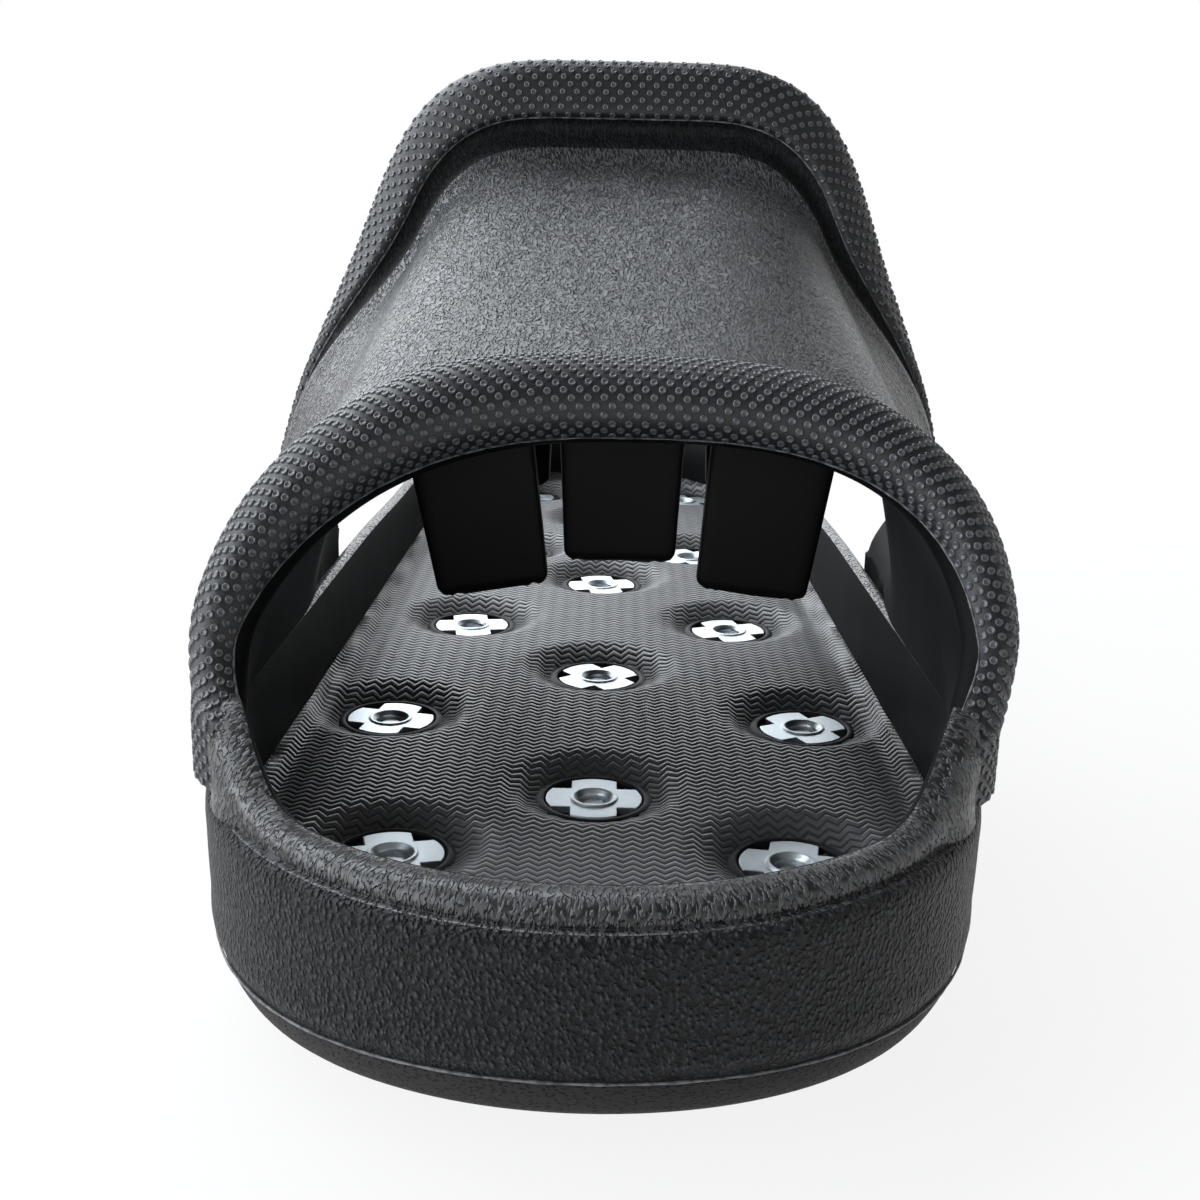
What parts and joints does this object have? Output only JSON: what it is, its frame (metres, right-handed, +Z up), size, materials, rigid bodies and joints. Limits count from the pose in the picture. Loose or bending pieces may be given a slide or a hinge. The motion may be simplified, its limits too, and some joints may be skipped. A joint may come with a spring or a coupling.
{
  "type": "anti-slip overshoe",
  "caption": "Slip-on foam overshoe with an arched instep upper, sprung grip fins inside and steel studs screwed through the sole into tee nuts.",
  "frame": {"origin": "middle of the bounding box, on the ground plane that the stud tips stand on", "axes": "+Z up, +Y from the toe towards the heel, +X to the right seen from the toe"},
  "size_m": [0.1416, 0.32, 0.1481],
  "materials": {
    "outsole_foam": "matt, fine pebble grain",
    "tray_foam": "satin, leathery pebble grain",
    "footbed_foam": "satin, zigzag ribs",
    "upper_foam": "satin, wrinkled grain, dotted bead and collar",
    "fin_foam": "smooth satin",
    "zinc_plate": "bright zinc plate",
    "stud_steel": "plated steel",
    "carbide": "ground carbide"
  },
  "bodies": {
    "shoe": {"outsole": "outsole_foam", "tray": "tray_foam", "footbed": "footbed_foam", "upper": "upper_foam", "tee_nut_toe_left": "zinc_plate", "tee_nut_toe_right": "zinc_plate", "tee_nut_ball_left": "zinc_plate", "tee_nut_ball_right": "zinc_plate", "tee_nut_waist_left": "zinc_plate", "tee_nut_waist_right": "zinc_plate", "tee_nut_arch_left": "zinc_plate", "tee_nut_arch_right": "zinc_plate", "tee_nut_heel_left": "zinc_plate", "tee_nut_heel_right": "zinc_plate", "tee_nut_toe_middle": "zinc_plate", "tee_nut_ball_middle": "zinc_plate", "tee_nut_waist_middle": "zinc_plate", "tee_nut_arch_middle": "zinc_plate", "stud_toe_left": "stud_steel", "stud_toe_right": "stud_steel", "stud_ball_left": "stud_steel", "stud_ball_right": "stud_steel", "stud_waist_left": "stud_steel", "stud_waist_right": "stud_steel", "stud_arch_left": "stud_steel", "stud_arch_right": "stud_steel", "stud_heel_left": "stud_steel", "stud_heel_right": "stud_steel", "stud_toe_middle": "stud_steel", "stud_ball_middle": "stud_steel", "stud_waist_middle": "stud_steel", "stud_arch_middle": "stud_steel", "carbide_tips": "carbide"},
    "fin_front_left_body": {"fin_front_left": "fin_foam"},
    "fin_front_middle_body": {"fin_front_middle": "fin_foam"},
    "fin_front_right_body": {"fin_front_right": "fin_foam"},
    "fin_rear_left_body": {"fin_rear_left": "fin_foam"},
    "fin_rear_middle_body": {"fin_rear_middle": "fin_foam"},
    "fin_rear_right_body": {"fin_rear_right": "fin_foam"}
  },
  "joints": [
    {"name": "fin_front_left_bend", "type": "hinge", "parent": "shoe", "child": "fin_front_left_body", "pos_m": [-0.0233, -0.06151, 0.07978], "axis": [-0.9874, 0, -0.1583], "range_deg": [-25, 60], "stiffness_Nm_per_rad": 0.03},
    {"name": "fin_front_middle_bend", "type": "hinge", "parent": "shoe", "child": "fin_front_middle_body", "pos_m": [0.0035, -0.05884, 0.08443], "axis": [-1, 0, 0], "range_deg": [-25, 60], "stiffness_Nm_per_rad": 0.03},
    {"name": "fin_front_right_bend", "type": "hinge", "parent": "shoe", "child": "fin_front_right_body", "pos_m": [0.03049, -0.06039, 0.08102], "axis": [-0.9935, 0, 0.1135], "range_deg": [-25, 60], "stiffness_Nm_per_rad": 0.03},
    {"name": "fin_rear_left_bend", "type": "hinge", "parent": "shoe", "child": "fin_rear_left_body", "pos_m": [-0.0214, -0.00564, 0.10139], "axis": [-0.991, 0, -0.1339], "range_deg": [-25, 60], "stiffness_Nm_per_rad": 0.03},
    {"name": "fin_rear_middle_bend", "type": "hinge", "parent": "shoe", "child": "fin_rear_middle_body", "pos_m": [0.0055, -0.00494, 0.10626], "axis": [-1, 0, 0], "range_deg": [-25, 60], "stiffness_Nm_per_rad": 0.03},
    {"name": "fin_rear_right_bend", "type": "hinge", "parent": "shoe", "child": "fin_rear_right_body", "pos_m": [0.03175, -0.0067, 0.09774], "axis": [-0.9668, 0, 0.2555], "range_deg": [-25, 60], "stiffness_Nm_per_rad": 0.03}
  ]
}
